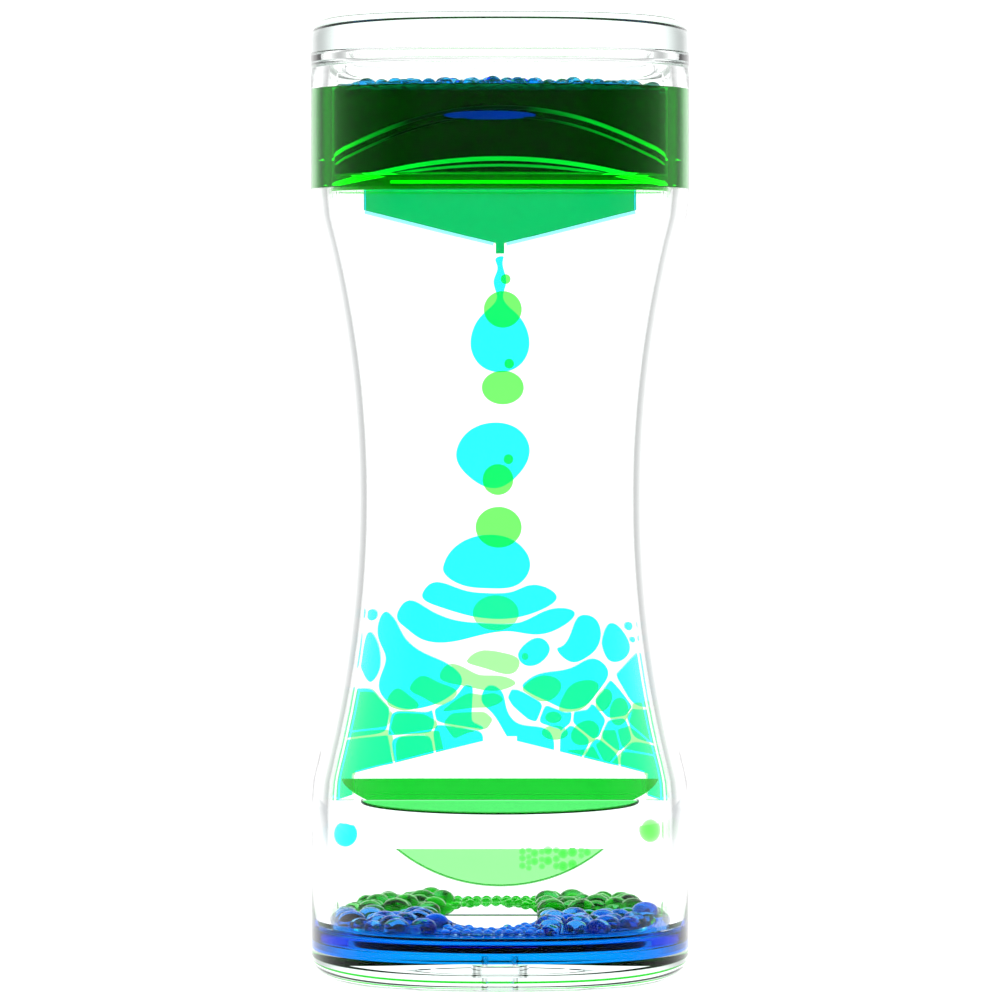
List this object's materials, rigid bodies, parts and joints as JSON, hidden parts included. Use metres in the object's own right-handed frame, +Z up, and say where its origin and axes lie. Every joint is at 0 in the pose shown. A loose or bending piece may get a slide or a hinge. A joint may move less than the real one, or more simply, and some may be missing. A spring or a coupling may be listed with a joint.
{
  "type": "liquid motion timer",
  "caption": "Clear waisted case with flat slots in which drops of dyed oil fall from a nozzle, heap up and run down into the lower chamber.",
  "frame": {"origin": "centre of the underside of the base, on the surface that the timer stands on", "axes": "+Z up along the case, +X to the right and -Y towards the viewer, so the slots lie across Y"},
  "size_m": [0.0536, 0.0536, 0.135],
  "materials": {
    "clear_case": "clear polished acrylic",
    "clear_panel": "clear polished acrylic sheet",
    "blue_oil": "clear blue dyed oil",
    "green_oil": "clear green dyed oil"
  },
  "bodies": {
    "case": {"base_lid": "clear_case", "blue_beads": "blue_oil", "blue_froth": "blue_oil", "blue_landed_drop": "blue_oil", "blue_left_cells": "blue_oil", "blue_long_cell": "blue_oil", "blue_lower_pool": "blue_oil", "blue_lower_saucer": "blue_oil", "blue_right_cells": "blue_oil", "blue_slope_cell": "blue_oil", "blue_tall_cell": "blue_oil", "blue_upper_pool": "blue_oil", "blue_upper_saucer": "blue_oil", "divider": "clear_panel", "fill_plug": "clear_case", "front_lower_deck": "clear_panel", "front_slot_plate": "clear_panel", "front_upper_deck": "clear_panel", "green_beads": "green_oil", "green_froth": "green_oil", "green_left_cells": "green_oil", "green_lower_pool": "green_oil", "green_middle_cells": "green_oil", "green_right_cells": "green_oil", "green_upper_pool": "green_oil", "outer_shell": "clear_case", "rear_lower_deck": "clear_panel", "rear_slot_plate": "clear_panel", "rear_upper_deck": "clear_panel", "top_lid": "clear_case"},
    "blue_drop_1": {"blue_drop_1": "blue_oil"},
    "blue_drop_2": {"blue_drop_2": "blue_oil"},
    "blue_exit_drop": {"blue_exit_drop": "blue_oil"},
    "green_bead_1": {"green_bead_1": "green_oil"},
    "green_bead_2": {"green_bead_2": "green_oil"},
    "green_bead_3": {"green_bead_3": "green_oil"},
    "green_drop_1": {"green_drop_1": "green_oil"},
    "green_drop_2": {"green_drop_2": "green_oil"},
    "green_drop_3": {"green_drop_3": "green_oil"},
    "green_drop_4": {"green_drop_4": "green_oil"},
    "green_exit_drop": {"green_exit_drop": "green_oil"}
  },
  "joints": [
    {"name": "blue_drop_1_fall", "type": "slide", "parent": "case", "child": "blue_drop_1", "axis": [0, 0, -1], "range_m": [0, 0.006]},
    {"name": "blue_drop_2_fall", "type": "slide", "parent": "case", "child": "blue_drop_2", "axis": [0, 0, -1], "range_m": [0, 0.006]},
    {"name": "blue_exit_drop_fall", "type": "slide", "parent": "case", "child": "blue_exit_drop", "axis": [0, 0, -1], "range_m": [0, 0.005]},
    {"name": "green_bead_1_fall", "type": "slide", "parent": "case", "child": "green_bead_1", "axis": [0, 0, -1], "range_m": [0, 0.006]},
    {"name": "green_bead_2_fall", "type": "slide", "parent": "case", "child": "green_bead_2", "axis": [0, 0, -1], "range_m": [0, 0.006]},
    {"name": "green_bead_3_fall", "type": "slide", "parent": "case", "child": "green_bead_3", "axis": [0, 0, -1], "range_m": [0, 0.006]},
    {"name": "green_drop_1_fall", "type": "slide", "parent": "case", "child": "green_drop_1", "axis": [0, 0, -1], "range_m": [0, 0.006]},
    {"name": "green_drop_2_fall", "type": "slide", "parent": "case", "child": "green_drop_2", "axis": [0, 0, -1], "range_m": [0, 0.006]},
    {"name": "green_drop_3_fall", "type": "slide", "parent": "case", "child": "green_drop_3", "axis": [0, 0, -1], "range_m": [0, 0.006]},
    {"name": "green_drop_4_fall", "type": "slide", "parent": "case", "child": "green_drop_4", "axis": [0, 0, -1], "range_m": [0, 0.006]},
    {"name": "green_exit_drop_fall", "type": "slide", "parent": "case", "child": "green_exit_drop", "axis": [0, 0, -1], "range_m": [0, 0.005]}
  ],
  "couplings": [
    {"joint": "blue_drop_1_fall", "follows": "blue_drop_2_fall", "ratio": 1},
    {"joint": "green_bead_1_fall", "follows": "green_drop_4_fall", "ratio": 1},
    {"joint": "green_bead_2_fall", "follows": "green_drop_4_fall", "ratio": 1},
    {"joint": "green_bead_3_fall", "follows": "green_drop_4_fall", "ratio": 1},
    {"joint": "green_drop_1_fall", "follows": "green_drop_4_fall", "ratio": 1},
    {"joint": "green_drop_2_fall", "follows": "green_drop_4_fall", "ratio": 1},
    {"joint": "green_drop_3_fall", "follows": "green_drop_4_fall", "ratio": 1}
  ]
}
